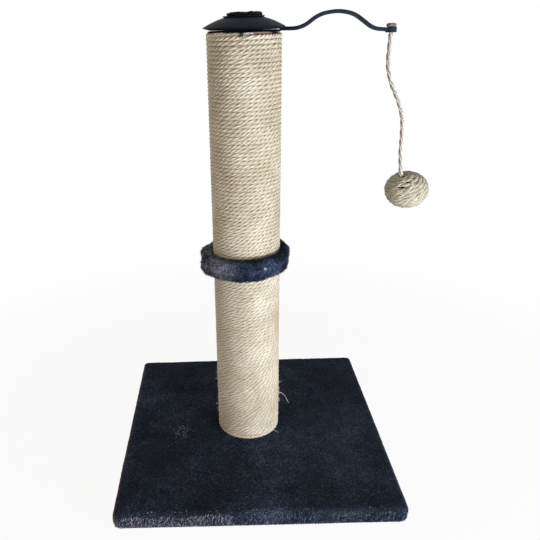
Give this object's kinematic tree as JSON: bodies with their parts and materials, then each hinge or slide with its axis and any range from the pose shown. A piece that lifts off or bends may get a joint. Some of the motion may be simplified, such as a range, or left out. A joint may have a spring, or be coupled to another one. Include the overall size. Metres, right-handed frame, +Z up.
{
  "type": "cat scratching post",
  "caption": "Rope-wound scratching post on a square plush base, with a plush ring and a swivelling cap whose arm hangs a rope ball on a cord.",
  "frame": {"origin": "on the post's axis, at the underside of the base where it stands on the floor", "axes": "+Z up along the post, +X towards the toy arm as pictured, +Y away from the viewer"},
  "size_m": [0.3922, 0.35, 0.5615],
  "materials": {
    "board": "sawn board",
    "navy_plush": "short pile plush",
    "grey_plush": "brushed pile plush",
    "black_plush": "plush",
    "sisal": "three-strand laid sisal rope",
    "black_plastic": "satin",
    "ball_plastic": "matt",
    "core_card": "spiral-wound card",
    "steel": "zinc plated"
  },
  "bodies": {
    "stand": {"base_board": "board", "base_cover": "navy_plush", "cover_staples": "steel", "post_washer": "steel", "post_bolt": "steel", "post_tube": "core_card", "tube_plug_lower": "board", "tube_plug_upper": "board", "t_nut_lower": "steel", "t_nut_upper": "steel", "plug_nails_lower": "steel", "plug_nails_upper": "steel", "sisal_winding_1": "sisal", "sisal_winding_2": "sisal", "sisal_winding_3": "sisal", "sisal_winding_4": "sisal", "sisal_winding_5": "sisal", "rope_staples": "steel", "plush_ring": "grey_plush", "top_pad": "black_plush", "pivot_washer": "steel", "pivot_bolt": "steel"},
    "arm": {"swivel_arm": "black_plastic", "cap_disc": "black_plastic", "cap_plush": "black_plush"},
    "knot": {"cord_knot": "sisal"},
    "cord": {"toy_cord": "sisal", "cord_end_knot": "sisal"},
    "ball": {"ball_core": "ball_plastic", "ball_rope": "sisal"}
  },
  "joints": [
    {"name": "arm_swivel", "type": "hinge", "parent": "stand", "child": "arm", "pos_m": [0, 0, 0.541], "axis": [0, 0, 1], "continuous": true},
    {"name": "knot_turn", "type": "hinge", "parent": "arm", "child": "knot", "pos_m": [0.1626, 0, 0.5343], "axis": [0, 0, 1], "range_deg": [-90, 90]},
    {"name": "cord_swing", "type": "hinge", "parent": "knot", "child": "cord", "pos_m": [0.1626, 0, 0.5343], "axis": [0, -1, 0], "range_deg": [-38, 70]},
    {"name": "ball_spin", "type": "hinge", "parent": "cord", "child": "ball", "pos_m": [0.188, -0.0064, 0.3685], "axis": [0.2266, 0.0906, -0.9698], "range_deg": [-180, 180]}
  ]
}
